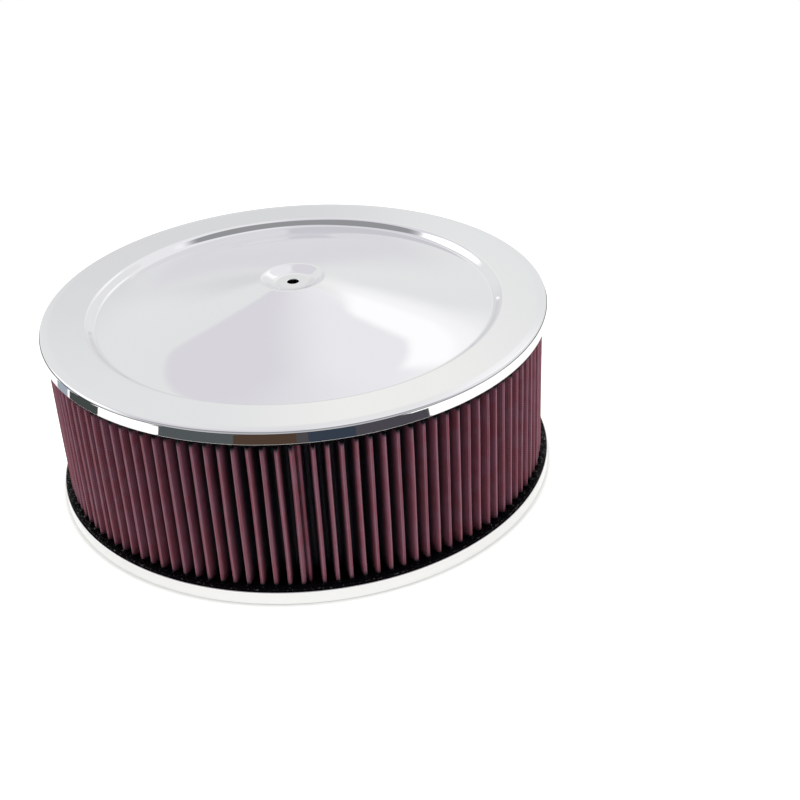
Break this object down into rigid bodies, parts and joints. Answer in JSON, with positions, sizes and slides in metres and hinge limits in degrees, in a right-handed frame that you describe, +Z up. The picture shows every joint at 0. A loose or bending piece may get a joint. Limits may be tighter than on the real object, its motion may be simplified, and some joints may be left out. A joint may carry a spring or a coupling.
{
  "type": "carburetor air cleaner",
  "caption": "Round carburetor air cleaner: plated pressed lid and base around a tall pleated gauze element with moulded end seals, a neck gasket and a breather port.",
  "frame": {"origin": "on the axis, in the plane of the base's underside", "axes": "+Z up along the stud's axis, through the lid; -Y towards the seam of the pleated pack; the breather port is 120 degrees from +X, towards +Y"},
  "size_m": [0.3588, 0.3588, 0.1469],
  "materials": {
    "plated_steel": "bright plated and polished",
    "urethane": "moulded, semi-gloss",
    "oiled_gauze": "oiled cotton gauze under a fine wire screen",
    "gasket_rubber": "matt"
  },
  "bodies": {
    "root": {"lid": "plated_steel", "top_seal": "urethane", "pleated_media": "oiled_gauze", "bottom_seal": "urethane", "base_plate": "plated_steel", "neck_gasket": "gasket_rubber"}
  },
  "joints": []
}
